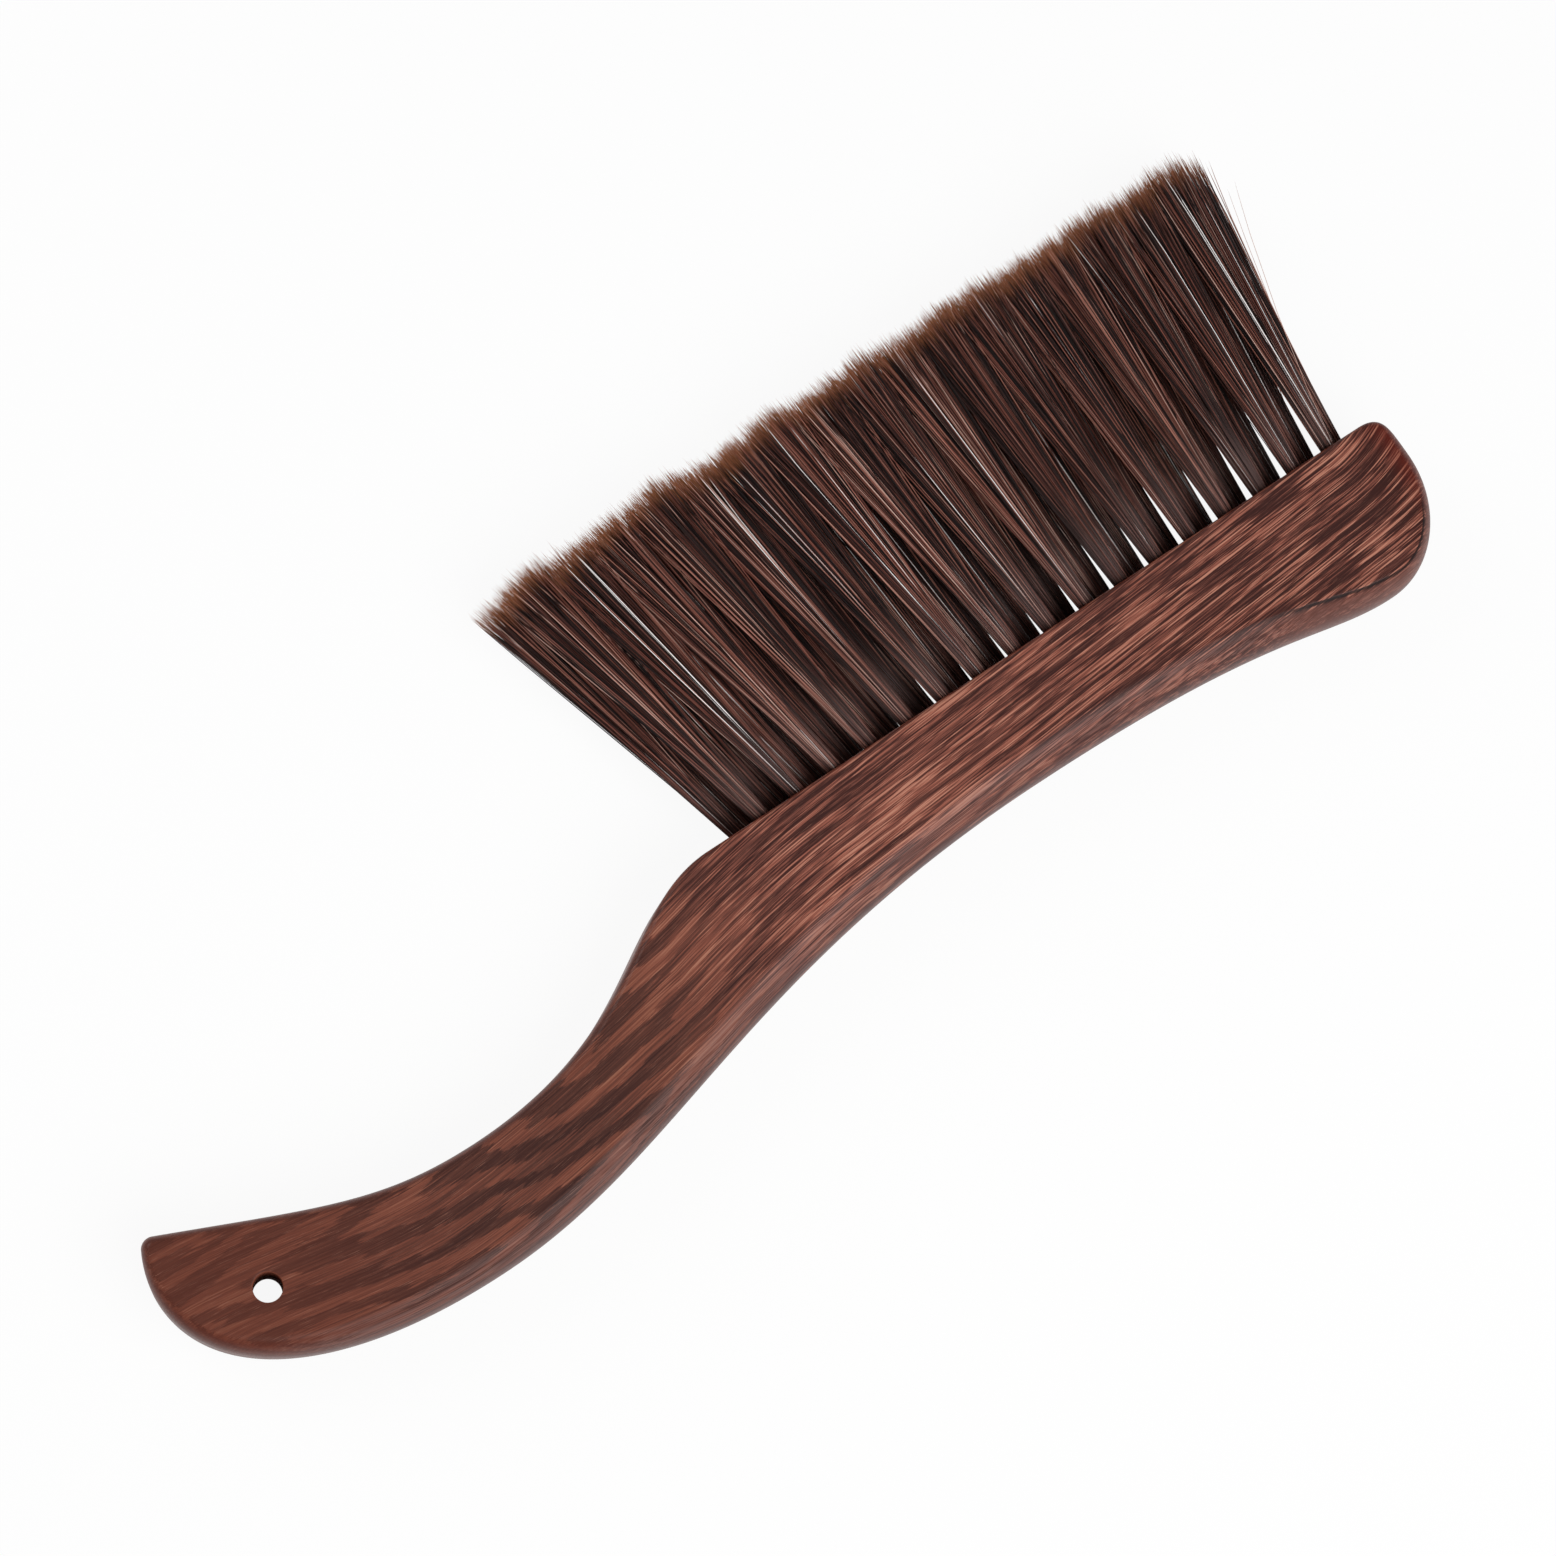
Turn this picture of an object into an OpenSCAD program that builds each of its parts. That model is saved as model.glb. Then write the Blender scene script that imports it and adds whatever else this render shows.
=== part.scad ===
// Neck duster brush: a curved wooden handle with three staggered rows of bristle
// tufts. Each tuft is folded round a flat wire anchor at the bottom of a blind hole.
// The brush lies on its side, with +X towards the nose, +Y towards the bristle tips
// and +Z up. The origin is on the axis of the hang hole, in the plane it rests on.

/* [Board] */
// Thickness of the handle
board_t = 25; // [23:0.5:30]
// Diameter of the hang hole
hang_hole_d = 7; // [5:0.5:9]
// Flat land left along the middle of the rounded back
spine_land = 1; // [0.5:0.5:4]

/* [Head] */
// Height of the bristle face above the hang hole
face_y = 29; // [26:0.5:33]
// Heel end of the bristle face, from the hang hole
heel_x = 143; // [135:1:155]
// Heel end of the face to the first tuft
heel_land = 11; // [6:0.5:16]
// Last tuft to the nose end of the face
nose_land = 3; // [2.5:0.5:6]
// Reach of the nose past the face
nose_reach = 9.2; // [8:0.2:14]
// Depth below the face where the nose reaches furthest
nose_drop = 12.5; // [10:0.5:15]
// Depth of the head at its deepest, behind the nose
nose_depth = 40; // [36:0.5:44]
// Tip of the nose to the deepest point
nose_back = 22.5; // [18:0.5:28]
// Depth of the head at its waist
waist_depth = 29.6; // [26:0.2:33]
// Tip of the nose to the waist
waist_back = 130; // [110:1:150]

/* [Grip] */
// Lowest point of the grip's upper edge, from the hang hole
hollow_x = 59; // [50:1:68]
// Height of that point above the hang hole
hollow_y = 1.6; // [0:0.2:5]
// Lowest point of the grip's belly, from the hang hole
belly_x = 50; // [42:1:60]
// Depth of the belly below the hang hole
belly_drop = 27.4; // [24:0.2:32]
// Reach of the grip's end past the hang hole
end_reach = 22.5; // [20:0.5:26]
// Height of the endmost point above the hang hole
end_y = 11.5; // [8:0.5:14]
// Centre of the rounded tip, back from the hang hole
tip_back = 16.7; // [15:0.1:17.5]
// Centre of the rounded tip, above the hang hole
tip_y = 22; // [20:0.5:26]
// Radius of the rounded tip
tip_r = 3; // [2.5:0.1:3.6]

/* [Edges] */
// Rounding along the bristle face
face_round = 1.6; // [0.8:0.1:2]
// Rounding along the grip's upper edge, across the side face
grip_round = 2.5; // [1.5:0.1:4]
// Rounding of the tip, across the side face
tip_round = 2.2; // [1.6:0.1:2.4]
// Rounding of the grip's end, across the side face
end_round = 3.2; // [2.6:0.1:4.5]
// Rounding of the nose, across the side face
nose_round = 4.5; // [3:0.1:5]
// Rounding of the back at the waist, across the side face
back_round = 8; // [6:0.5:10]
// Rounding of the belly, across the side face
belly_round = 6; // [5:0.5:9]
// Arc of the nose's rounding, which leaves a soft edge where it is under 90
nose_angle = 75; // [65:1:90]
// Arc of the back's rounding near the nose, which leaves a crisp edge
crisp_angle = 62; // [50:1:85]

/* [Tufts] */
// Tufts in each outer row, one fewer than in the middle row
outer_tufts = 17; // [15:1:17]
// Distance between neighbouring tufts in a row
tuft_pitch = 10.9; // [9.5:0.1:12]
// Distance from the middle row to an outer row
row_gap = 8.2; // [6.5:0.1:8.4]
// Diameter of a tuft hole
tuft_hole_d = 4.4; // [4:0.1:4.8]
// Depth of a tuft hole
tuft_hole_depth = 14; // [10:0.5:17]
// Clearance all round a tuft in its hole
tuft_clearance = 0.05; // [0.02:0.01:0.12]
// Free length of the bristles
bristle_len = 86; // [70:1:100]
// How far the tips lean back over the heel
heel_lean = 17.5; // [10:0.5:25]
// How far the tips lean forward over the nose
nose_lean = 7.5; // [2:0.5:14]
// Thickness of the bristles at their tips
tip_spread = 23; // [20:0.5:23]
// Width of a lock of bristles at its widest, just under the tip
lock_d = 2; // [1.4:0.1:2.2]
// Width of a lock at its root
lock_root_d = 0.9; // [0.6:0.1:1]
// Margin between a lock's root and the side of its tuft
lock_margin = 0.1; // [0.05:0.05:0.3]
// Depth of a lock's root below the mouth of the hole
lock_embed = 1; // [0.5:0.1:2]
// How much the trimmed tips differ in height
trim = 3; // [0:0.5:6]

/* [Anchors] */
// Length of a wire anchor, more than the hole so that it bites the wood
anchor_len = 5.8; // [5.2:0.1:6.4]
// Height of the anchor wire
anchor_h = 2; // [1.4:0.1:2.6]
// Thickness of the anchor wire
anchor_t = 0.5; // [0.4:0.1:0.8]
// Bristle fold under the anchor
anchor_seat = 1; // [0.5:0.1:2]

/* [Hidden] */
$fn = 48;
mid_z = board_t / 2;
first_x = heel_x + heel_land;
row_len = outer_tufts * tuft_pitch;
face_end = first_x + row_len + nose_land;
nose_x = face_end + nose_reach;
full_drop = mid_z - spine_land / 2;
tuft_r = tuft_hole_d / 2 - tuft_clearance;
rim_steps = 5;
overcut = 1;
lock_sides = 3;
lock_swell_ratio = 0.9;

rows = [["front", 1], ["middle", 0], ["back", -1]];

// Tufts in a row: the middle row has one at each end of the outer rows' gaps
function row_count(side) = side == 0 ? outer_tufts + 1 : outer_tufts;
function tuft_name(row, i) = str("tuft_", row[0], i < 9 ? "_0" : "_", i + 1);
function anchors_name(row) = str("anchors_", row[0]);
function tuft_x(side, i) = first_x + tuft_pitch * (i + abs(side) / 2);
function tuft_z(side) = mid_z + side * row_gap;

function unit(a) = [cos(a), sin(a)];

// Headings of the outline as it runs round the tip: up to it, over it and down from it
tip_rise_angle = 62;
tip_fall_angle = -24;
tip_over_angle = (tip_rise_angle + tip_fall_angle) / 2;
function round_tip(heading) = [-tip_back, tip_y] + tip_r * unit(heading + 90);

// A rounding is its inset, its drop down the side wall and its arc. An even one is a
// quarter circle, a long one drops twice its inset, and a full one reaches the middle.
quarter_angle = 90;
function even(r) = [r, r, quarter_angle];
function long(r, arc = quarter_angle) = [r, 2 * r, arc];
function full(r, arc = quarter_angle) = [r, full_drop, arc];

// Where the outline turns: place, heading, pull of the curve before and after it as a
// share of the chord, steps to the next knot, and the rounding
knots = [
    [round_tip(tip_over_angle), tip_over_angle, 0.36, 0.36, 2, long(tip_round)],
    [round_tip(tip_fall_angle), tip_fall_angle, 0.36, 0.51, 16, long(tip_round)],
    [[hollow_x, hollow_y], 0, 0.33, 0.54, 16, long(grip_round)],
    [[heel_x, face_y], 0, 0.28, 0.33, 24, even(face_round)],
    [[face_end, face_y], 0, 0.33, 0.45, 8, even(face_round)],
    [[nose_x, face_y - nose_drop], -90, 0.62, 0.42, 12, long(nose_round, nose_angle)],
    [[nose_x - nose_back, face_y - nose_depth], 180, 0.34, 0.19, 14,
        full(nose_round, crisp_angle)],
    [[nose_x - waist_back, face_y - waist_depth], 180, 0.71, 0.5, 24, full(back_round)],
    [[belly_x, -belly_drop], 180, 0.28, 0.56, 11, full(belly_round)],
    [[-end_reach, end_y], 90, 0.27, 0.4, 3, long(end_round)],
    [round_tip(tip_rise_angle), tip_rise_angle, 0.24, 0.36, 2, long(tip_round)]
];

// Control points of the curve from knot i to the next
function span(i) =
    let (a = knots[i], b = knots[(i + 1) % len(knots)], chord = norm(b[0] - a[0]))
    [a[0], a[0] + a[3] * chord * unit(a[1]), b[0] - b[2] * chord * unit(b[1]), b[0]];

function along(p, t) =
    (1 - t)^3 * p[0] + 3 * (1 - t)^2 * t * p[1] + 3 * (1 - t) * t^2 * p[2] + t^3 * p[3];

function heading(p, t) =
    (1 - t)^2 * (p[1] - p[0]) + 2 * (1 - t) * t * (p[2] - p[1]) + t^2 * (p[3] - p[2]);

// Each station holds its place, its inward normal and its rounding
stations = [
    for (i = [0 : len(knots) - 1], s = [0 : knots[i][4] - 1])
    let (
        p = span(i),
        t = s / knots[i][4],
        run = heading(p, t),
        blend = t * t * (3 - 2 * t)
    )
    [
        along(p, t),
        [run[1], -run[0]] / norm(run),
        knots[i][5] * (1 - blend) + knots[(i + 1) % len(knots)][5] * blend
    ]
];

// A point of the rounded rim: side is -1 or 1, a runs from 0 on the wall to 1 on the flat
function rim_point(station, side, a) =
    let (inset = station[2][0], drop = station[2][1], arc = station[2][2])
    let (in_plane = station[0] + station[1] * inset * (1 - cos(a * arc)) / (1 - cos(arc)))
    [in_plane[0], in_plane[1],
        mid_z + side * (mid_z - drop + drop * sin(a * arc) / sin(arc))];

module blank() {
    n = len(stations);
    last = 2 * rim_steps + 1;
    points = [
        for (j = [0 : last], s = stations)
        j <= rim_steps
            ? rim_point(s, -1, (rim_steps - j) / rim_steps)
            : rim_point(s, 1, (j - rim_steps - 1) / rim_steps)
    ];
    rim = [
        for (j = [0 : last - 1], k = [0 : n - 1])
        let (a = j * n + k, b = j * n + (k + 1) % n)
        each [[a, b, b + n], [a, b + n, a + n]]
    ];
    // The flats are strips between facing stations of the upper and lower edges
    flat = concat(
        [[0, 1, n - 1], [n / 2 - 1, n / 2, n / 2 + 1]],
        [for (k = [1 : n / 2 - 2]) each [[k, k + 1, n - k - 1], [k, n - k - 1, n - k]]]
    );
    upper = [for (f = flat) [for (v = f) v + last * n]];
    lower = [for (f = flat) [f[2], f[1], f[0]]];
    polyhedron(points, concat(rim, upper, lower));
}

// The mouth of a tuft's hole, with the bristles along +Y
module at_tuft(side, i) {
    translate([tuft_x(side, i), face_y, tuft_z(side)]) children();
}

module anchor_wire() {
    translate([-anchor_len / 2, anchor_seat - tuft_hole_depth, -anchor_t / 2])
    cube([anchor_len, anchor_h, anchor_t]);
}

module handle() {
    color("#5c3327")
    difference() {
        blank();
        for (row = rows, i = [0 : row_count(row[1]) - 1])
        at_tuft(row[1], i) {
            translate([0, overcut, 0])
            rotate([90, 0, 0])
            cylinder(h = tuft_hole_depth + overcut, d = tuft_hole_d);
            anchor_wire();
        }
        translate([0, 0, -overcut])
        cylinder(h = board_t + 2 * overcut, d = hang_hole_d);
    }
}

module anchors(row) {
    color("#b9bcc0")
    for (i = [0 : row_count(row[1]) - 1])
    at_tuft(row[1], i) anchor_wire();
}

// A three-sided lock that widens from its root and is trimmed to a short point
module lock(root, tip) {
    m = lock_sides;
    rings = [
        for (end = [[0, lock_root_d], [lock_swell_ratio, lock_d]], k = [0 : m - 1])
        let (turn = 360 / m * k)
        root + (tip - root) * end[0] + end[1] / 2 * [sin(turn), 0, cos(turn)]
    ];
    walls = [
        for (k = [0 : m - 1])
        let (l = (k + 1) % m)
        each [[k, k + m, l + m], [k, l + m, l], [k + m, 2 * m, l + m]]
    ];
    polyhedron(concat(rings, [tip]), concat([[for (k = [0 : m - 1]) k]], walls));
}

// The tips fan out along the row and fill the thickness between the side faces
module locks(side, i) {
    along_row = (tuft_x(side, i) - first_x) / row_len;
    lean = (heel_lean + nose_lean) * along_row - heel_lean;
    tip_pitch = tuft_pitch * (1 + (heel_lean + nose_lean) / row_len);
    root_ring = tuft_r - lock_root_d / 2 - lock_margin;
    for (a = [-1 : 1], b = [-1 : 1]) {
        out = a == 0 && b == 0 ? [0, 0] : root_ring * [a, b] / norm([a, b]);
        across = lean + (a + b / 3) * tip_pitch / 3;
        deep = side * (tip_spread / 3 - row_gap) + b * tip_spread / 9;
        cut = trim / 4 * ((5 * i + 3 * a + 7 * b + 2 * side + 40) % 5);
        rise = sqrt((bristle_len - cut)^2 - across^2);
        lock([out[0], -lock_embed, out[1]], [across, rise, deep]);
    }
}

module tuft(side, i) {
    color("#3b2622")
    at_tuft(side, i) {
        difference() {
            rotate([90, 0, 0])
            cylinder(h = tuft_hole_depth, r = tuft_r);
            anchor_wire();
        }
        locks(side, i);
    }
}

handle();
for (row = rows)
anchors(row);
for (row = rows, i = [0 : row_count(row[1]) - 1])
tuft(row[1], i);
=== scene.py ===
import bmesh
import bpy
import numpy as np
from mathutils import Matrix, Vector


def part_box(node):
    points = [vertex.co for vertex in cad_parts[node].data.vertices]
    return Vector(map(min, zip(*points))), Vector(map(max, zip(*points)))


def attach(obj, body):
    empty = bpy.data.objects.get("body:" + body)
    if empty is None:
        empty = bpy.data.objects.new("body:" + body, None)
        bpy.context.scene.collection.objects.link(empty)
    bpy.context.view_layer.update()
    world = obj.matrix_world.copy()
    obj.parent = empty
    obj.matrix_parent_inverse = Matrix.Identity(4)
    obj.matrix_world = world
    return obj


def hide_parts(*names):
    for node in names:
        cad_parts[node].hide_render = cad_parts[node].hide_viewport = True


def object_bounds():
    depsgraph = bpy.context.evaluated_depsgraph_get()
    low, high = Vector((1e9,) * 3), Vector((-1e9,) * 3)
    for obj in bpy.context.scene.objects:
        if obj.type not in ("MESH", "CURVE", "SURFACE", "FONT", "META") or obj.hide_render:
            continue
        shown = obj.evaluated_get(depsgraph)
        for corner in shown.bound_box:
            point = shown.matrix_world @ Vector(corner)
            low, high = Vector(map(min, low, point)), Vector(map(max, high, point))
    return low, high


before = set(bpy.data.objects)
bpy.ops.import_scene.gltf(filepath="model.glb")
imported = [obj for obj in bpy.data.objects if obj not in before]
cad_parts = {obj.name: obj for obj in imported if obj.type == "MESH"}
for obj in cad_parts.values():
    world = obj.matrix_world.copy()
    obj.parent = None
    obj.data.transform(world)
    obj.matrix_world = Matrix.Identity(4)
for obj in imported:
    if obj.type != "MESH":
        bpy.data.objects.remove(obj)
cadLow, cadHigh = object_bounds()
mm = 0.001
weldGap = 1e-6                        # metres: points nearer than this are joined
sliver = 1e-7                         # and edges and faces thinner than this are dropped


def unit(vector):
    # the same direction, 1 long
    vector = np.asarray(vector, float)
    return vector / np.linalg.norm(vector)


def smoothStep(t):
    # eases in and out between 0 and 1: t squared times (3 - 2 t)
    return t * t * (3 - 2 * t)


def makePiece(name, points, faces, material, smooth=True):
    mesh = bpy.data.meshes.new(name)
    mesh.from_pydata(points, [], faces)
    mesh.validate()
    mesh.polygons.foreach_set("use_smooth", np.full(len(mesh.polygons), smooth))
    mesh.materials.append(material)
    piece = bpy.data.objects.new(name, mesh)
    bpy.context.scene.collection.objects.link(piece)
    return piece


def paint(red, green, blue):
    # an 8-bit screen colour as the linear colour that a shader takes
    screen = np.array([red, green, blue]) / 255
    linear = np.where(screen <= 0.04045, screen / 12.92, ((screen + 0.055) / 1.055) ** 2.4)
    return (*linear.tolist(), 1.0)


class nodeBoard:
    # a short way of writing a material's nodes: each call adds nodes and returns an output

    def __init__(self, name):
        self.material = bpy.data.materials.new(name)
        self.material.use_nodes = True
        self.tree = self.material.node_tree
        self.shader = self.tree.nodes["Principled BSDF"]

    def link(self, value, socket):
        if isinstance(value, bpy.types.NodeSocket):
            self.tree.links.new(value, socket)
        else:
            socket.default_value = value

    def add(self, kind, values=(), output=0, **settings):
        node = self.tree.nodes.new(kind)
        for key, value in settings.items():
            setattr(node, key, value)
        for key, value in dict(values).items():
            self.link(value, node.inputs[key])
        return node.outputs[output]

    def split(self, vector):
        node = self.tree.nodes.new("ShaderNodeSeparateXYZ")
        self.link(vector, node.inputs[0])
        return node.outputs

    def maths(self, operation, a, b=0.0):
        return self.add("ShaderNodeMath", {0: a, 1: b}, operation=operation)

    def plus(self, a, b):
        return self.maths("ADD", a, b)

    def minus(self, a, b):
        return self.maths("SUBTRACT", a, b)

    def times(self, a, b):
        return self.maths("MULTIPLY", a, b)

    def larger(self, a, b):
        return self.maths("MAXIMUM", a, b)

    def beyond(self, value, start):
        # how far a value lies past the start, and 0 before it
        return self.larger(self.minus(value, start), 0)

    def rescale(self, value, low, high, toLow, toHigh, curve="LINEAR"):
        return self.add("ShaderNodeMapRange", {0: value, 1: low, 2: high, 3: toLow, 4: toHigh},
                        interpolation_type=curve)

    def ease(self, value, low, high, toLow, toHigh):
        # rescaled with a soft start and a soft end
        return self.rescale(value, low, high, toLow, toHigh, "SMOOTHSTEP")

    def mixColour(self, share, a, b, blend="MIX"):
        return self.add("ShaderNodeMix", {0: share, 6: a, 7: b}, 2, data_type="RGBA",
                        blend_type=blend)

    def ramp(self, value, stops):
        node = self.tree.nodes.new("ShaderNodeValToRGB")
        while len(node.color_ramp.elements) < len(stops):
            node.color_ramp.elements.new(1.0)
        for element, (place, colour) in zip(node.color_ramp.elements, stops):
            element.position = place
            element.color = paint(*colour)
        self.link(value, node.inputs[0])
        return node.outputs[0]

    def scaled(self, vector, scales, shift=(0, 0, 0)):
        return self.add("ShaderNodeMapping", {"Vector": vector, "Scale": scales, "Location": shift})

    def noise(self, vector, scales, shift, detail, roughness):
        # noise round 0.5, drawn out the more along an axis the smaller its scale
        return self.add("ShaderNodeTexNoise", {"Vector": self.scaled(vector, scales, shift),
                                               "Scale": 1.0, "Detail": detail,
                                               "Roughness": roughness})

    def centred(self, value):
        # moved from round 0.5 to round 0
        return self.minus(value, 0.5)


# in mm, with x along the brush and y up to the bristles, both from the hang hole; four numbers
# in a row say where a change starts and ends, and the value before and after it; colours are
# 8-bit screen colours, but for the tint of the grip, which is multiplied in
woodLook = {
    "dip": (45, -25, 0, 9),           # the fibres dip along the grip
    "climb": (40, 170, -6, 8),        # and climb from the grip to the head
    "riseX": 120,                     # from here on they rise
    "rise": 0.075,                    # by this slope
    "curlX": 328,                     # and from here on they turn up at the nose
    "curl": (0, 26, 0.002, 0.010),    # the more, the nearer they are to the face
    "layer": 2.0,                     # thickness of a growth layer
    "crestX": 57,                     # the layers arch over a crest that climbs from here on
    "crestRise": 0.0055,              # how fast it climbs
    "crestDrop": 3,                   # how far it starts below the hang hole
    "arch": 0.30,                     # how fast the layers fall away on either side of it
    "point": 1.5,                     # how round the point of an arch is
    "dive": 0.045,                    # how fast the layers dive along the handle
    "diveX": 45,                      # and from here on they dive faster
    "diveMore": 0.0006,
    "swaySize": 3.0,                  # how far they wander in long turns, and in short ones
    "flameSize": 1.8,
    "waveShare": 0.22,                # how much an arch's edge follows the layer
    # figures of the grain: scales along x, y and z, shift, detail and roughness
    "sway": ((0.016, 0.05, 0.03), (0, 0, 0), 2, 0.5),
    "flame": ((0.04, 0.30, 0.2), (0, 0, 0), 2, 0.6),
    "feather": ((0.06, 0.9, 0.4), (0, 0, 0), 5, 0.75),
    "streak": ((0.04, 0.85, 0.35), (3, 7, 1), 3, 0.62),
    "dash": ((0.05, 2.3, 0.8), (1, 4, 9), 2, 0.6),
    "line": ((0.03, 3.6, 1.1), (8, 2, 5), 2, 0.6),
    "patch": ((0.02, 0.13, 0.1), (6, 1, 2), 1, 0.5),
    "vessel": ((0.13, 5.5, 1.8), (11, 0, 5), 2, 0.7),
    # where and how sharply a figure turns from dark to light
    "archEdge": (-0.08, 0.01, -0.5, 0.5),
    "streakEdge": (0.45, 0.54, -0.5, 0.5),
    "dashEdge": (0.44, 0.56, -0.5, 0.5),
    # how much each figure weighs in the tone; a pair is for the grip and for the head
    "archWeight": 0.34,
    "streakWeight": 0.44,
    "dashWeight": (0.10, 0.34),
    "lineWeight": (1.1, 2.3),
    "patchWeight": 0.7,
    "level": (0.565, 0.51),           # the tone without any figure
    "toHead": (100, 160, 0, 1),       # where the grip's figure turns into the head's
    "neckDark": (205, 150, 0, 0.055),      # the neck and the grip are a little darker
    "toNose": (225, 325, 0, 1),       # the head turns darker and gains contrast
    "noseDark": 0.19,
    "noseContrast": 0.4,
    "tones": [(0.00, (48, 17, 12)), (0.20, (68, 31, 24)), (0.36, (84, 46, 38)),
              (0.50, (103, 59, 49)), (0.62, (124, 69, 56)), (0.80, (153, 90, 73)),
              (1.00, (184, 126, 105))],
    "gripTint": (0.64, 0.61, 0.55, 1),
    "tipRed": (92, 41, 26),
    "tipWhere": (60, -10, 0, 0.5),
    "noseRed": (96, 26, 12),
    "noseWhere": (341, 351, 0, 0.85),
    # fine vessels: which part of their noise is dark, or painted as glints of light, and how much of
    # it
    "vesselDark": (46, 22, 19),
    "darkPart": (0.42, 0.27, 0, 0.5),
    "vesselGlint": (176, 122, 102),
    "glintPart": (0.60, 0.76, 0, 0.5),
    # which kinds of edge count as the rounded back, and as the crisp one under the nose
    "backKinds": (0.5, 1.0, 0, 1),
    "crispKinds": (1.30, 1.65, 0, 1),
    # colours of the edges, mostly painted light and shade, and where they lie past the edge of the
    # flat
    # a painted highlight on the shoulders of the rounded back
    "shoulderHighlight": (124, 92, 86),
    "highlightStart": (0.5, 3.0, 0, 0.45),
    "highlightEnd": (8.0, 5.0, 0, 1),
    "highlightLines": (0.42, 0.60, 0.25, 1.3),     # the fine lines of the grain stay in it
    # painted shade on the middle of the rounded back
    "backShade": (74, 36, 30),
    "backShadeWhere": (5.0, 9.0, 0, 0.6),
    "underRed": (104, 60, 50),
    "underWhere": (0.8, 2.0, 0, 0.6),
    # painted shade on the other rims
    "rimShade": (90, 34, 18),
    "rimShadeWhere": (0.2, 2.5, 0, 0.6),
    # painted shade in the crease under the crisp edge of the nose
    "seamShade": (22, 10, 9),
    "seamStart": (0.0, 0.25, 0, 0.9),
    "seamEnd": (1.2, 0.7, 0, 1),
    "holeWall": (132, 74, 56),
    "holeWallShare": 0.8,
    "mouthOuter": 0.25,               # outside the hole's radius its wall starts to show here
    "mouthInner": 0.05,               # and shows fully here
    # the varnish
    "roughness": (0.3, 0.7, 0.50, 0.36),        # by the vessels' noise
    "relief": 0.06,                   # depth of the vessels
    "reliefShare": 0.4,
    "specular": 0.10,
    "coat": (330, 350, 0.14, 0.03),   # the end grain of the nose takes less
    "coatRoughness": 0.24,
}


def fibreHeight(b, look, x, y, dip):
    # how high a fibre runs above a straight one: dip plus climb, plus the rise times the way
    # past riseX, plus the curl times the square of the way past curlX
    climb = b.ease(x, *look["climb"])
    rise = b.times(b.beyond(x, look["riseX"]), look["rise"])
    atNose = b.beyond(x, look["curlX"])
    curl = b.times(b.times(atNose, atNose), b.rescale(y, *look["curl"]))
    return b.plus(b.plus(dip, climb), b.plus(rise, curl))


def growthLayers(b, look, place, fibre, dip):
    # the sine of a height that gains one turn for each layer: z plus the way off the crest, less
    # the dive along the handle, plus the long and the short wandering
    x, y, z = b.split(place)
    far = b.beyond(x, look["crestX"])
    crest = b.plus(dip, b.times(b.times(far, far), look["crestRise"]))
    offCrest = b.minus(b.plus(y, look["crestDrop"]), crest)
    arch = b.maths("POWER", b.plus(b.times(offCrest, offCrest), look["point"] ** 2), 0.5)
    reach = b.beyond(x, look["diveX"])
    dive = b.plus(b.times(x, look["dive"]), b.times(b.times(reach, reach), look["diveMore"]))
    layer = b.minus(b.plus(z, b.times(arch, look["arch"])), dive)
    layer = b.plus(layer, b.times(b.noise(place, *look["sway"]), look["swaySize"]))
    layer = b.plus(layer, b.times(b.noise(fibre, *look["flame"]), look["flameSize"]))
    return b.maths("SINE", b.times(layer, 2 * np.pi / look["layer"]))


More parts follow.
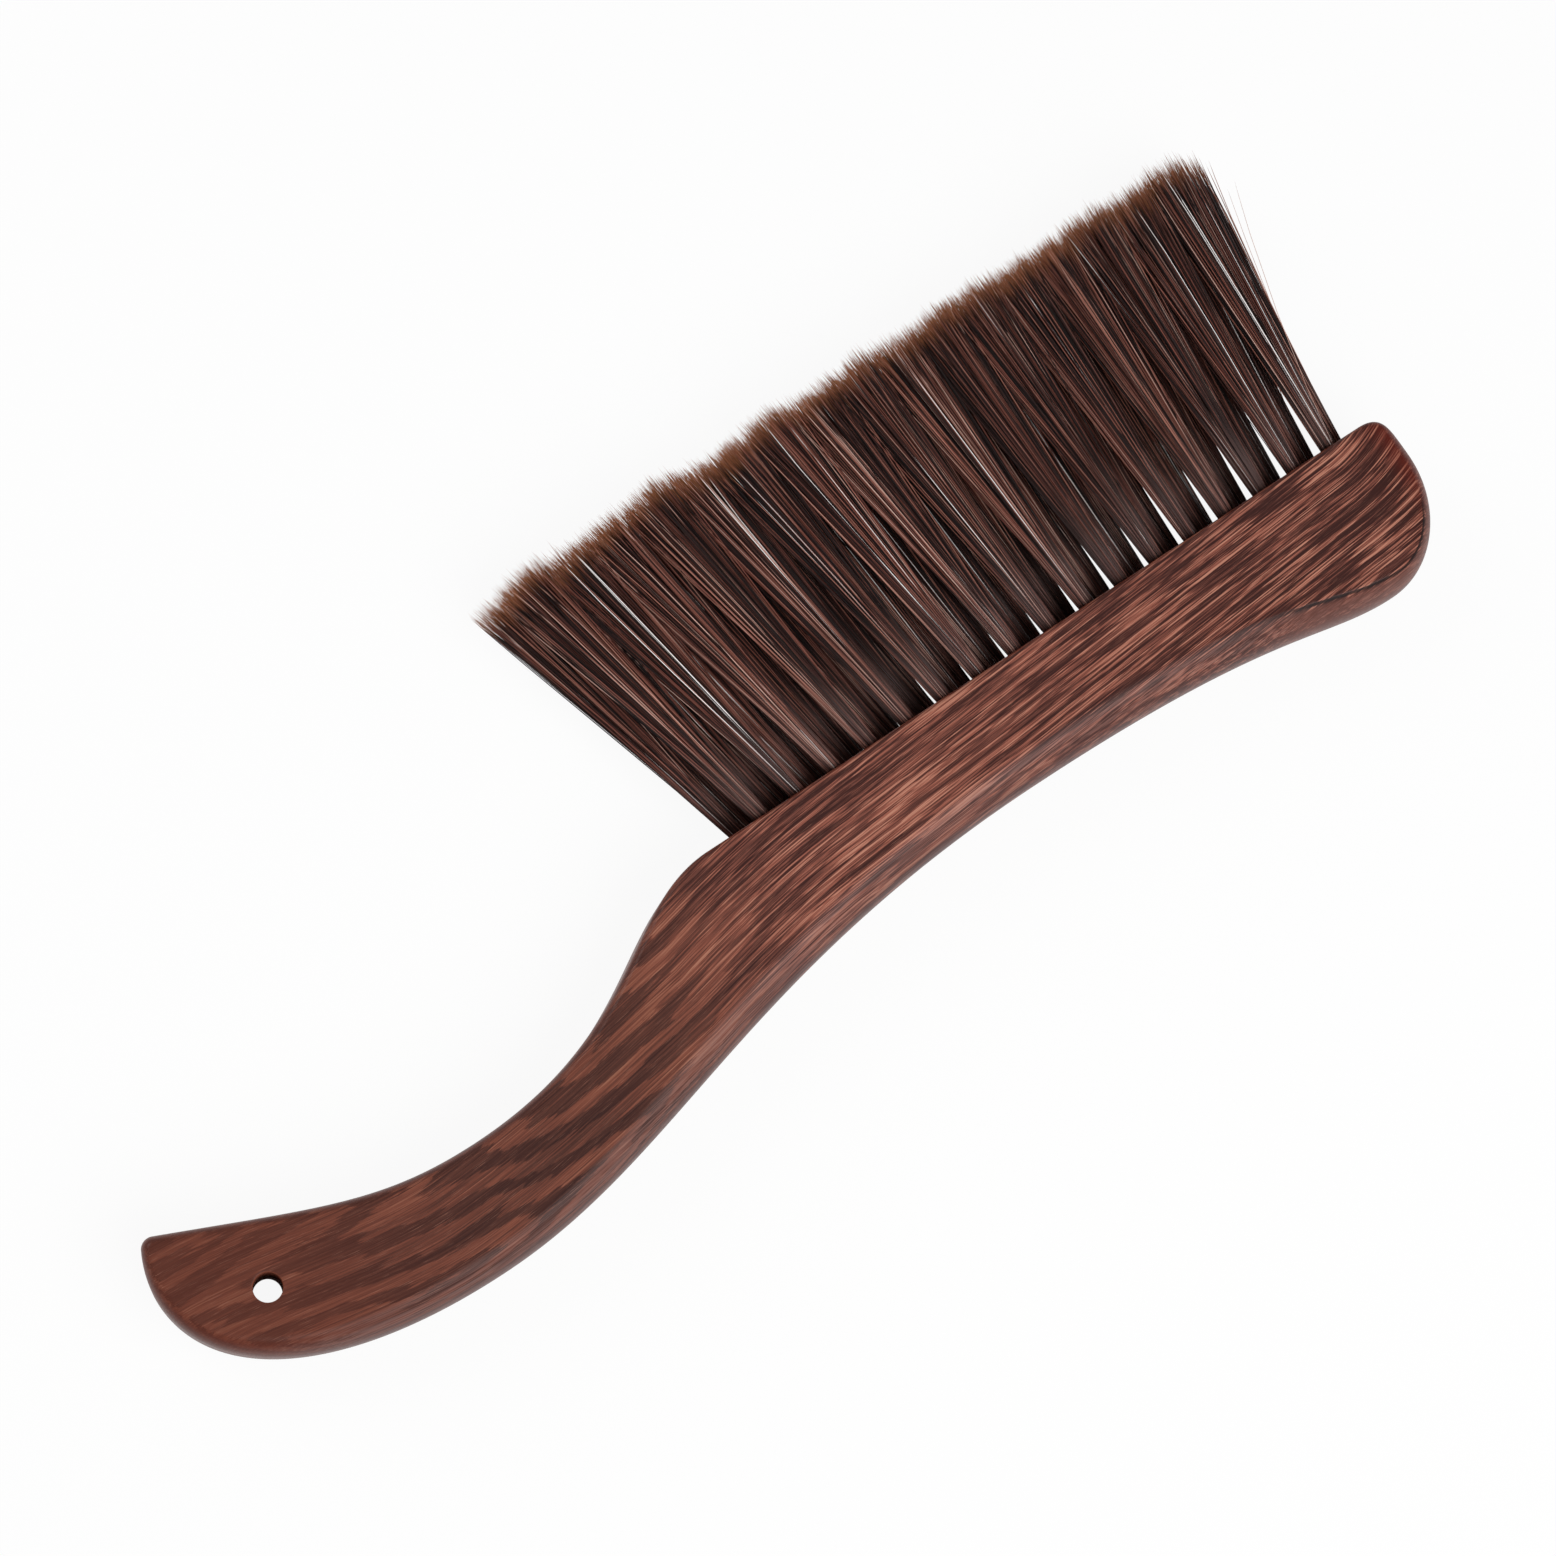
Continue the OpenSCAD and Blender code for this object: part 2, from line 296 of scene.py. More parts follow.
def woodMaterial(look, holeR):
    b = nodeBoard("varnishedWood")
    place = b.add("ShaderNodeTexCoord", output=3)
    place = b.scaled(place, (1 / mm, 1 / mm, 1 / mm))      # millimetres from here on
    x, y, z = b.split(place)
    dip = b.ease(x, *look["dip"])
    offFibre = b.minus(y, fibreHeight(b, look, x, y, dip))
    fibre = b.add("ShaderNodeCombineXYZ", {0: x, 1: offFibre, 2: z})
    onHead = b.ease(x, *look["toHead"])
    onGrip = b.minus(1.0, onHead)

    def gripToHead(pair):
        return b.rescale(onHead, 0, 1, *pair)

    # on the grip a layer's edge frays along the fibres into long points
    wave = growthLayers(b, look, place, fibre, dip)
    feather = b.centred(b.noise(fibre, *look["feather"]))
    frayed = b.plus(b.times(wave, look["waveShare"]), feather)
    arches = b.ease(frayed, *look["archEdge"])
    # along the head the layers break up into streaks
    streaks = b.ease(b.noise(fibre, *look["streak"]), *look["streakEdge"])
    dashes = b.ease(b.noise(fibre, *look["dash"]), *look["dashEdge"])
    line = b.noise(fibre, *look["line"])
    patch = b.noise(fibre, *look["patch"])
    tone = b.plus(b.times(arches, b.times(onGrip, look["archWeight"])),
                  b.times(streaks, b.times(onHead, look["streakWeight"])))
    tone = b.plus(tone, b.times(dashes, gripToHead(look["dashWeight"])))
    tone = b.plus(tone, b.times(b.centred(line), gripToHead(look["lineWeight"])))
    tone = b.plus(tone, b.times(b.centred(patch), look["patchWeight"]))
    tone = b.plus(tone, gripToHead(look["level"]))
    tone = b.minus(tone, b.ease(x, *look["neckDark"]))
    toNose = b.ease(x, *look["toNose"])
    tone = b.minus(tone, b.times(toNose, look["noseDark"]))
    spread = b.times(b.centred(tone), b.times(toNose, look["noseContrast"]))
    grain = b.ramp(b.plus(tone, spread), look["tones"])

    # stains, from the grip to the nose
    grain = b.mixColour(onGrip, grain, look["gripTint"], "MULTIPLY")
    grain = b.mixColour(b.ease(x, *look["tipWhere"]), grain, paint(*look["tipRed"]))
    grain = b.mixColour(b.ease(x, *look["noseWhere"]), grain, paint(*look["noseRed"]))
    # fine vessel lines, some dark and some painted as glints of light in the pores
    vessels = b.noise(fibre, *look["vessel"])
    grain = b.mixColour(b.rescale(vessels, *look["darkPart"]), grain, paint(*look["vesselDark"]))
    grain = b.mixColour(b.rescale(vessels, *look["glintPart"]), grain, paint(*look["vesselGlint"]))

    # painted light on the edges: a painted highlight on the shoulders of the rounded back, painted
    # shade on its middle, and a dark seam of painted shade in the crease under the crisp nose edge
    kind, past = b.split(b.add("ShaderNodeUVMap", uv_map="rim"))[:2]
    onBack = b.ease(kind, *look["backKinds"])
    atCrisp = b.ease(kind, *look["crispKinds"])
    # a painted highlight on the shoulders of the back, broken up by the grain's fine lines
    shoulder = b.times(b.ease(past, *look["highlightStart"]), b.ease(past, *look["highlightEnd"]))
    shoulderHighlight = b.times(b.times(onBack, shoulder), b.rescale(line, *look["highlightLines"]))
    grain = b.mixColour(shoulderHighlight, grain, paint(*look["shoulderHighlight"]))
    # painted shade: the middle of the back, below the highlight, darker and redder
    shadedBack = b.times(onBack, b.ease(past, *look["backShadeWhere"]))
    grain = b.mixColour(shadedBack, grain, paint(*look["backShade"]))
    smoothed = b.times(atCrisp, b.ease(past, *look["underWhere"]))
    grain = b.mixColour(smoothed, grain, paint(*look["underRed"]))
    # painted shade: the other rims darker and redder
    onRim = b.times(b.minus(1.0, onBack), b.ease(past, *look["rimShadeWhere"]))
    grain = b.mixColour(onRim, grain, paint(*look["rimShade"]))
    # painted shade: a dark line in the crease under the crisp edge
    seam = b.times(b.ease(past, *look["seamStart"]), b.ease(past, *look["seamEnd"]))
    seam = b.times(atCrisp, seam)
    grain = b.mixColour(seam, grain, paint(*look["seamShade"]))
    # the wall of the hang hole is plain and dull
    fromHole = b.maths("POWER", b.plus(b.times(x, x), b.times(y, y)), 0.5)
    inHole = b.ease(fromHole, holeR + look["mouthOuter"], holeR + look["mouthInner"], 0, 1)
    plain = b.times(inHole, look["holeWallShare"])
    grain = b.mixColour(plain, grain, paint(*look["holeWall"]))
    b.link(grain, b.shader.inputs["Base Color"])

    rough = b.larger(b.rescale(vessels, *look["roughness"]), inHole)
    b.link(rough, b.shader.inputs["Roughness"])
    relief = b.add("ShaderNodeBump", {"Strength": look["reliefShare"],
                                      "Distance": look["relief"] * mm, "Height": vessels})
    b.link(relief, b.shader.inputs["Normal"])
    b.link(relief, b.shader.inputs["Coat Normal"])
    b.shader.inputs["Specular IOR Level"].default_value = look["specular"]
    # the painted seam of shade and the wall of the hole take no coat
    bare = b.minus(1.0, b.larger(seam, inHole))
    b.link(b.times(b.ease(x, *look["coat"]), bare), b.shader.inputs["Coat Weight"])
    b.shader.inputs["Coat Roughness"].default_value = look["coatRoughness"]
    return b.material


bristleLook = {
    # the filaments' shades; the last stop, near white, is a painted glint
    "shafts": [(0.00, (18, 12, 12)), (0.30, (38, 24, 23)), (0.50, (80, 47, 41)),
               (0.70, (132, 79, 67)), (0.88, (178, 122, 106)), (0.965, (212, 174, 160)),
               (0.985, (255, 250, 248))],
    # painted sheen: the filaments turn greyer and paler towards the root
    "root": (106, 84, 80),
    "rootSheenWhere": (0.40, 0.0, 0, 0.45),     # as shares of the way from root to tip
    "tip": (186, 116, 74),
    "tipWhere": (0.91, 1.0, 0, 0.88),
    "roughness": 0.42,
    "specular": 0.18,
}


def bristleMaterial(look):
    # the map holds the filament's own shade across and the way from root to tip along it
    b = nodeBoard("bristleFibre")
    shade, along = b.split(b.add("ShaderNodeUVMap", uv_map="OFBake"))[:2]
    colour = b.ramp(shade, look["shafts"])
    # painted sheen: greyer towards the root
    colour = b.mixColour(b.ease(along, *look["rootSheenWhere"]), colour, paint(*look["root"]))
    colour = b.mixColour(b.ease(along, *look["tipWhere"]), colour, paint(*look["tip"]))
    b.link(colour, b.shader.inputs["Base Color"])
    b.shader.inputs["Roughness"].default_value = look["roughness"]
    b.shader.inputs["Specular IOR Level"].default_value = look["specular"]
    return b.material


wireLook = {
    "scuff": ((200, 2500, 2500), (0, 0, 0), 3, 0.6),       # as the wood's figures, but in metres
    "tones": [(0.3, (150, 152, 156)), (0.7, (196, 198, 200))],
    "roughness": (0.2, 0.8, 0.25, 0.5),
}


def wireMaterial(look):
    b = nodeBoard("anchorSteel")
    scuff = b.noise(b.add("ShaderNodeTexCoord", output=3), *look["scuff"])
    b.link(b.ramp(scuff, look["tones"]), b.shader.inputs["Base Color"])
    b.link(b.rescale(scuff, *look["roughness"]), b.shader.inputs["Roughness"])
    b.shader.inputs["Metallic"].default_value = 1.0
    return b.material


handleLow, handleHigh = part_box("handle")
thickness = (handleHigh.z - handleLow.z) / mm
middle = thickness / 2
handle = {
    # the outline, in mm from the hang hole, x along the brush and y up to the bristles
    "faceY": handleHigh.y / mm,       # the flat face that holds the bristles
    "heelX": 143,                     # where that face starts
    "noseX": handleHigh.x / mm,       # foremost point of the head
    "noseReach": 9.2,                 # where the nose rounds off, back from it and below the face
    "noseDrop": 12.5,
    "noseBack": 22.5,                 # where the back starts, back from the nose and below the face
    "noseDepth": 40,
    "waistBack": 130,                 # the waist of the back, taken the same way
    "waistDepth": 29.6,
    "hollowX": 59,                    # the hollow over the grip
    "hollowY": 1.6,
    "bellyX": 50,                     # lowest point of the grip
    "bellyY": handleLow.y / mm,
    "endX": handleLow.x / mm,         # hindmost point of the grip
    "endY": 11.5,
    "tipX": -16.7,                    # the small round tip of the hook
    "tipY": 22,
    "tipR": 3,
    "tipRise": 62,                    # heading of the outline before and after the tip, degrees
    "tipFall": -24,
    # the roundings of the edge: inset into the flat, drop below it, and arc in degrees
    "tipRim": (2.2, 4.4, 90),
    "hollowRim": (2.5, 5, 90),
    "faceRim": (1.6, 1.6, 90),
    "noseRim": (4.5, 9, 75),
    "endRim": (3.2, 6.4, 90),
    "underRim": (4.5, 62),            # these three drop as far as spineLand lets them
    "waistRim": (8, 90),
    "bellyRim": (6, 90),
    "spineLand": 1,                   # height left flat between the roundings of the back
    "softDrop": 5,                    # an edge that drops this far starts to count as rounded
    "fullDrop": 11,                   # and this far as fully rounded
    "crispArc": 62,                   # an arc this short counts as fully crisp
    "crease": 0.35,                   # how softly the flats meet the roundings
    # the hang hole
    "holeR": 3.5,
    "holeEase": 0.35,                 # radius of its eased mouths
    "holePast": 1,                    # how far its cutter runs past the faces
    "holeSides": 72,
    "easeSteps": 6,
    # how fine the mesh is
    "finer": 5,                       # stations of the outline to each step of its knots
    "rimSteps": 12,
    "flatSteps": 12,
}


def headingOf(degrees):
    return np.array([np.cos(np.radians(degrees)), np.sin(np.radians(degrees))])


def outlineKnots(h):
    # each knot: place, heading, pull before and after as a share of the chord, steps to the
    # next knot, and the rounding of the edge there
    full = middle - h["spineLand"] / 2
    tip = np.array([h["tipX"], h["tipY"]])
    over = (h["tipRise"] + h["tipFall"]) / 2
    faceEnd = h["noseX"] - h["noseReach"]

    def onTip(heading):
        return tip + h["tipR"] * headingOf(heading + 90)

    def spine(inset, arc):
        return inset, full, arc

    return [
        (onTip(over), over, 0.36, 0.36, 2, h["tipRim"]),
        (onTip(h["tipFall"]), h["tipFall"], 0.36, 0.51, 16, h["tipRim"]),
        ((h["hollowX"], h["hollowY"]), 0, 0.33, 0.54, 16, h["hollowRim"]),
        ((h["heelX"], h["faceY"]), 0, 0.28, 0.33, 24, h["faceRim"]),
        ((faceEnd, h["faceY"]), 0, 0.33, 0.45, 8, h["faceRim"]),
        ((h["noseX"], h["faceY"] - h["noseDrop"]), -90, 0.62, 0.42, 12, h["noseRim"]),
        ((h["noseX"] - h["noseBack"], h["faceY"] - h["noseDepth"]), 180, 0.34, 0.19, 14,
         spine(*h["underRim"])),
        ((h["noseX"] - h["waistBack"], h["faceY"] - h["waistDepth"]), 180, 0.71, 0.5, 24,
         spine(*h["waistRim"])),
        ((h["bellyX"], h["bellyY"]), 180, 0.28, 0.56, 11, spine(*h["bellyRim"])),
        ((h["endX"], h["endY"]), 90, 0.27, 0.4, 3, h["endRim"]),
        (onTip(h["tipRise"]), h["tipRise"], 0.24, 0.36, 2, h["tipRim"]),
    ]


def outline(h):
    # a cubic Bezier curve between each knot and the next: its ends a and d and the points b and c,
    # pulled out along the headings, weigh as the cube of what is left, three times its square
    # times t, three times it times t squared, and t cubed; the roundings blend along it
    knots = outlineKnots(h)
    places, inwards, roundings = [], [], []
    for here, there in zip(knots, knots[1:] + knots[:1]):
        a, d = np.array(here[0], float), np.array(there[0], float)
        chord = np.linalg.norm(d - a)
        b = a + here[3] * chord * headingOf(here[1])
        c = d - there[2] * chord * headingOf(there[1])
        count = here[4] * h["finer"]
        t = (np.arange(count) / count)[:, None]
        u = 1 - t
        places.append(u**3 * a + 3 * u**2 * t * b + 3 * u * t**2 * c + t**3 * d)
        run = u**2 * (b - a) + 2 * u * t * (c - b) + t**2 * (d - c)
        run /= np.linalg.norm(run, axis=1, keepdims=True)
        inwards.append(np.stack([run[:, 1], -run[:, 0]], 1))
        blend = smoothStep(t)
        roundings.append(np.array(here[5]) * (1 - blend) + np.array(there[5]) * blend)
    return np.concatenate(places), np.concatenate(inwards), np.concatenate(roundings)


def rimRings(h):
    # from the upper flat over the rounding, down the wall and under to the lower flat: at angle
    # a of the arc the point lies in by inset (1 - cos a) / (1 - cos arc), up by drop sin a / sin arc
    place, inward, rounding = outline(h)
    inset, drop, arc = rounding.T
    arc = np.radians(arc)
    flat = place + inward * (inset + h["crease"])[:, None]
    rings = [(flat, np.full(len(place), middle))]
    for a in np.linspace(1, 0, h["rimSteps"] + 1):
        across = inset * (1 - np.cos(a * arc)) / (1 - np.cos(arc))
        up = middle - drop + drop * np.sin(a * arc) / np.sin(arc)
        rings.append((place + inward * across[:, None], up))
    upper = [np.column_stack([p, middle + up]) for p, up in rings]
    lower = [np.column_stack([p, middle - up]) for p, up in reversed(rings)]
    return np.array(upper + lower)


def rimChart(rim, h):
    # for each point of the rings: how fully the edge is rounded there, plus how crisply it starts,
    # and how far, in mm, the point lies past the edge of the flat on its own side
    drop, arc = outline(h)[2].T[1:]
    rounded = (drop - h["softDrop"]) / (h["fullDrop"] - h["softDrop"])
    crisp = (90 - arc) / (90 - h["crispArc"])
    kind = np.clip(rounded, 0, 1) + np.clip(crisp, 0, 1)
    past = np.concatenate([np.zeros_like(rim[:1, :, 0]),
                           np.cumsum(np.linalg.norm(np.diff(rim, axis=0), axis=2), 0)])
    past = np.minimum(past, past[-1] - past) - h["crease"]
    return np.stack([np.broadcast_to(kind, past.shape), past], 2)


def flatRows(ring, h):
    # straight lines across a flat between the facing stations of its edge, nose to tip
    half = len(ring) // 2
    near, far = ring[:half + 1], ring[-np.arange(half + 1)]
    share = np.linspace(0, 1, h["flatSteps"] + 1)[:, None, None]
    return near * (1 - share) + far * share


def gridFaces(rows, columns, start=0, flip=False, closed=True):
    # quads between neighbouring rows of points; a closed row ends where it starts
    r, c = np.meshgrid(np.arange(rows - 1), np.arange(columns - (not closed)), indexing="ij")
    d = (c + 1) % columns
    low, high = r * columns, (r + 1) * columns
    quads = np.stack([low + c, low + d, high + d, high + c], 2).reshape(-1, 4) + start
    return (quads[:, ::-1] if flip else quads).tolist()


def weld(piece):
    # joins coincident points and drops what that flattens, which closes the shell
    shell = bmesh.new()
    shell.from_mesh(piece.data)
    bmesh.ops.remove_doubles(shell, verts=shell.verts, dist=weldGap)
    bmesh.ops.dissolve_degenerate(shell, edges=shell.edges, dist=sliver)
    bmesh.ops.recalc_face_normals(shell, faces=shell.faces)
    shell.to_mesh(piece.data)
    shell.free()


def boreCutter(h):
    # a round bore with both mouths eased by a quarter circle, running past both faces: at angle a
    # of the quarter its radius is wider by ease (1 - sin a) and it lies ease (1 - cos a) deep
    turn = np.linspace(0, 2 * np.pi, h["holeSides"], endpoint=False)
    quarter = np.linspace(0, np.pi / 2, h["easeSteps"])
    radius = h["holeR"] + h["holeEase"] * (1 - np.sin(quarter))
    height = middle - h["holeEase"] * (1 - np.cos(quarter))
    past = middle + h["holePast"]
    radius = np.r_[radius[0], radius, radius[::-1], radius[0]]
    height = np.r_[past, height, -height[::-1], -past]
    points = np.stack([radius[:, None] * np.cos(turn), radius[:, None] * np.sin(turn),
                       np.repeat(middle + height[:, None], len(turn), 1)], 2)
    rows, columns = points.shape[:2]
    faces = gridFaces(rows, columns, flip=True)
    faces += [list(range(columns)), list(range((rows - 1) * columns, rows * columns))]
    cutter = makePiece("boreCutter", points.reshape(-1, 3) * mm, faces, wood)
    weld(cutter)
    return cutter


def bore(piece, cutter):
    cut = piece.modifiers.new("hangHole", "BOOLEAN")
    cut.operation = "DIFFERENCE"
    cut.solver = "EXACT"
    cut.object = cutter
    shape = piece.evaluated_get(bpy.context.evaluated_depsgraph_get())
    mesh = bpy.data.meshes.new_from_object(shape)
    piece.modifiers.clear()
    piece.data = mesh
    bpy.data.objects.remove(cutter)


def drawChart(piece, name, places):
    # a map whose two values are held by the points, the same in every face round a point
    chart = piece.data.uv_layers.new(name=name)
    corner = np.empty(len(piece.data.loops), np.int32)
    piece.data.loops.foreach_get("vertex_index", corner)
    chart.data.foreach_set("uv", places[corner].reshape(-1))


def buildHandle(h):
    # the rings round the edge and the two flats, joined into one shell and bored through
    rim = rimRings(h)
    rows, columns = rim.shape[:2]
    faces = gridFaces(rows, columns)
    points = [rim.reshape(-1, 3)]
    places = [rimChart(rim, h).reshape(-1, 2)]
    start = rows * columns
    for row, flip in ((0, False), (rows - 1, True)):
        flat = flatRows(rim[row], h)
        faces += gridFaces(flat.shape[0], flat.shape[1], start, flip, closed=False)
        points.append(flat.reshape(-1, 3))
        # a flat is no kind of edge, and lies well before any
        places.append(np.tile([0.0, -1.0], (flat.shape[0] * flat.shape[1], 1)))
        start += flat.shape[0] * flat.shape[1]
    piece = makePiece("shapedHandle", np.concatenate(points) * mm, faces, wood)
    drawChart(piece, "rim", np.concatenate(places))
    weld(piece)
    bore(piece, boreCutter(h))
    return piece


wood = woodMaterial(woodLook, handle["holeR"])
handlePiece = buildHandle(handle)
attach(handlePiece, "root")
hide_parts("handle")
print("handle made:", len(handlePiece.data.polygons), "faces")


middleLow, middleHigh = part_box("anchors_middle")
frontLow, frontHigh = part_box("anchors_front")
middleCount = len([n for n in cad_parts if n.startswith("tuft_middle")])
pitch = (middleHigh.x - middleLow.x) / mm - (frontHigh.x - frontLow.x) / mm
rowSpan = pitch * (middleCount - 1)
tufts = {
    # the rows, in mm
    "firstX": (middleLow.x + middleHigh.x) / 2 / mm - rowSpan / 2,
    "rowZ": {"front": (frontLow.z + frontHigh.z) / 2 / mm, "middle": middle,
             "back": thickness - (frontLow.z + frontHigh.z) / 2 / mm},
    "faceY": handle["faceY"],
    "length": cadHigh.y / mm - handle["faceY"],
    "heelLean": 17.5,                 # how far the outermost tufts lean out at either end
    "noseLean": 7.5,
    "depthSpread": 22.4,              # how thick the brush is at its tip
    "seed": 7,
    # a tuft
    "count": 330,                     # filaments
    "rootR": 2.0,                     # radius where it leaves its hole
    "embed": 1.0,                     # how far the filaments start below the face
    "fanWide": 0.60,                  # how far it fans along the row, as a share of the pitch
    "fanLimit": 0.62,                 # and how far back at most
    "fanDeep": 1.1,                   # how far it fans across, as a share of half its row's depth
    "tightness": 1.25,                # above 1 it stays tight above its hole before it fans out
    "bow": (0.8, 0, 0.35),            # how unevenly the filaments bow, along x, y and z
    "looseAcross": 1.2,               # how unevenly their tips lie, along the row and across it
    "looseDeep": 0.4,
    "tipMargin": 0.4,                 # how far the tips stay inside the sides of the brush
    "sideMargin": 0.15,               # and how far the filaments do
    # the strands that its filaments gather into
    "locks": 24,
    "goldenAngle": 2.39996,           # radians from one strand to the next round the tuft
    "lockTurn": 6,                    # and how far the first one may be turned
    "gather": 0.45,                   # share of the way that filaments draw together
    "lockDrift": 0.55,                # how unevenly the strands wander off
    "driftShare": 0.25,               # and how much of that shows
    "lockTone": (0.8, 1.0),           # spread of their shades, as a beta distribution
    "toneShare": 0.20,                # how much of a filament's shade is its strand's
    # the trim
    "longest": 2.0,                   # how far an uncut filament passes the solids' tips
    "cutShape": (1.5, 0.8),           # how unevenly filaments are cut, as a gamma distribution
    "lockCut": 1.6,                   # and strands
    "tuftCut": 1.0,                   # and tufts
    "taper": 11.0,                    # how much shorter a strand's outer filaments are
    # a filament
    "thick": 0.18,                    # radius of the stoutest ones' middle
    "thinnest": 0.6,                  # times a number between this and 1
    "thinPower": 0.7,                 # to this power
    "sides": 3,
    "rings": (0.0, 0.22, 0.50, 0.80, 0.94),     # places along it, as shares of the way
    "ringR": (0.85, 0.95, 1.0, 0.85, 0.60),     # its radius there, as a share of its own
    # the hairs that stand away at the nose
    "strayFrom": 0.96,                # only past this share of the row
    "strays": 0.010,                  # share of the filaments there
    "strayAcross": (6, 12),           # how far they stand away, at least and at most
    "strayShort": (2, 14),            # and how much shorter they are
    "strayThick": 0.6,
    "strayShade": 0.96,
    "farthest": cadHigh.x / mm + 8.5,      # no tip passes this x
    # the shades, from 0 for the darkest
    "tone": (0.6, 0.8),               # spread of the filaments' own, as a beta distribution
    "ownShare": 0.80,                 # how much of a filament's shade is its own
    "palest": 0.96,                   # of those that don't shine
    "outer": 0.7,                     # only filaments this far out towards the sides get painted shine
    "heelShine": 1.6,                 # how common that is at the heel, and at the nose
    "noseShine": 0.9,
    "pale": 0.06,                     # share painted pale as a sheen of light, and its shade
    "sheenShade": 0.94,
    "glint": 0.025,                  # share painted near white as a glint of light, and its shade
    "glintShade": 0.99,
    "shades": 64,                     # how many shades the map tells apart
}


def filaments(rng, t, x, z, side):
    # one tuft: the place at share s of a filament is its root, plus s times the tuft's lean, plus
    # s to the power tightness times what is left to its tip, plus a bow of 4 s squared (1 - s);
    # its tip lies in the tuft's share of the brush's tip, drawn to the middle of its strand
    n = t["count"]
    along = (x - t["firstX"]) / rowSpan
    lean = (t["heelLean"] + t["noseLean"]) * along - t["heelLean"]
    tipPitch = pitch * (1 + (t["heelLean"] + t["noseLean"]) / rowSpan)
    r = np.sqrt((np.arange(n) + rng.random(n)) / n)
    a = rng.random(n) * 2 * np.pi
    spot = np.stack([r * np.cos(a), r * np.sin(a)], 1)
    # the strands' middles lie on a sunflower's spiral
    lockR = np.sqrt((np.arange(t["locks"]) + 0.5) / t["locks"])
    lockA = np.arange(t["locks"]) * t["goldenAngle"] + rng.random() * t["lockTurn"]
    lockSpot = np.stack([lockR * np.cos(lockA), lockR * np.sin(lockA)], 1)
    lock = np.argmin(((spot[:, None] - lockSpot) ** 2).sum(2), 1)
    lockDrift = rng.normal(0, t["lockDrift"], (t["locks"], 2))
    lockShade = rng.beta(*t["lockTone"], t["locks"])
    root = np.stack([x + t["rootR"] * spot[:, 0], np.full(n, t["faceY"] - t["embed"]),
                     z + t["rootR"] * spot[:, 1]], 1)
    fan = spot * (1 - t["gather"]) + lockSpot[lock] * t["gather"]
    fan = fan + lockDrift[lock] * t["driftShare"]
    across = lean + fan[:, 0] * tipPitch * t["fanWide"] + rng.normal(0, t["looseAcross"], n)
    stray = (along > t["strayFrom"]) & (rng.random(n) < t["strays"])
    across = across + stray * rng.uniform(*t["strayAcross"], n)
    across = np.clip(across, lean - tipPitch * t["fanLimit"], t["farthest"] - x)
    rowTip = middle + side * t["depthSpread"] / 3
    deep = rowTip + fan[:, 1] * t["depthSpread"] / 6 * t["fanDeep"]
    deep = deep + rng.normal(0, t["looseDeep"], n)
    deep = np.clip(deep, t["tipMargin"], thickness - t["tipMargin"])
    cut = rng.gamma(*t["cutShape"], n) + np.abs(rng.normal(0, t["lockCut"], t["locks"]))[lock]
    cut += abs(rng.normal(0, t["tuftCut"]))
    # a strand comes to a point: the filaments round its middle are the longest
    cut += np.linalg.norm(spot - lockSpot[lock], axis=1) * t["taper"]
    reach = t["length"] - cut + t["longest"] - stray * rng.uniform(*t["strayShort"], n)
    rise = np.sqrt(np.maximum(reach ** 2 - across ** 2, 1))
    tip = np.stack([x + across, t["faceY"] + rise, deep], 1)
    bow = rng.normal(0, 1, (n, 3)) * np.array(t["bow"])
    s = np.array(t["rings"] + (1.0,))[None, :, None]
    leaning = np.array([lean, t["length"] + t["embed"], 0])
    fanned = (tip - root - leaning)[:, None] * s ** t["tightness"]
    path = root[:, None] + leaning * s + fanned + bow[:, None] * 4 * s * s * (1 - s)
    shade = rng.beta(*t["tone"], n) * t["ownShare"] + lockShade[lock] * t["toneShare"]
    shade = np.clip(shade, 0, t["palest"])
    # filaments out towards the sides are painted pale or near white as sheen and glints of light
    outer = np.abs(spot[:, 1]) > t["outer"]
    luck = rng.random(n) / (t["heelShine"] + (t["noseShine"] - t["heelShine"]) * along)
    shade = np.where(stray, t["strayShade"], shade)
    shade = np.where(outer & (luck < t["pale"]), t["sheenShade"], shade)
    shade = np.where(outer & (luck < t["glint"]), t["glintShade"], shade)
    size = t["thick"] * rng.uniform(t["thinnest"], 1.0, n) ** t["thinPower"]
    return path, shade, size * np.where(stray, t["strayThick"], 1.0)


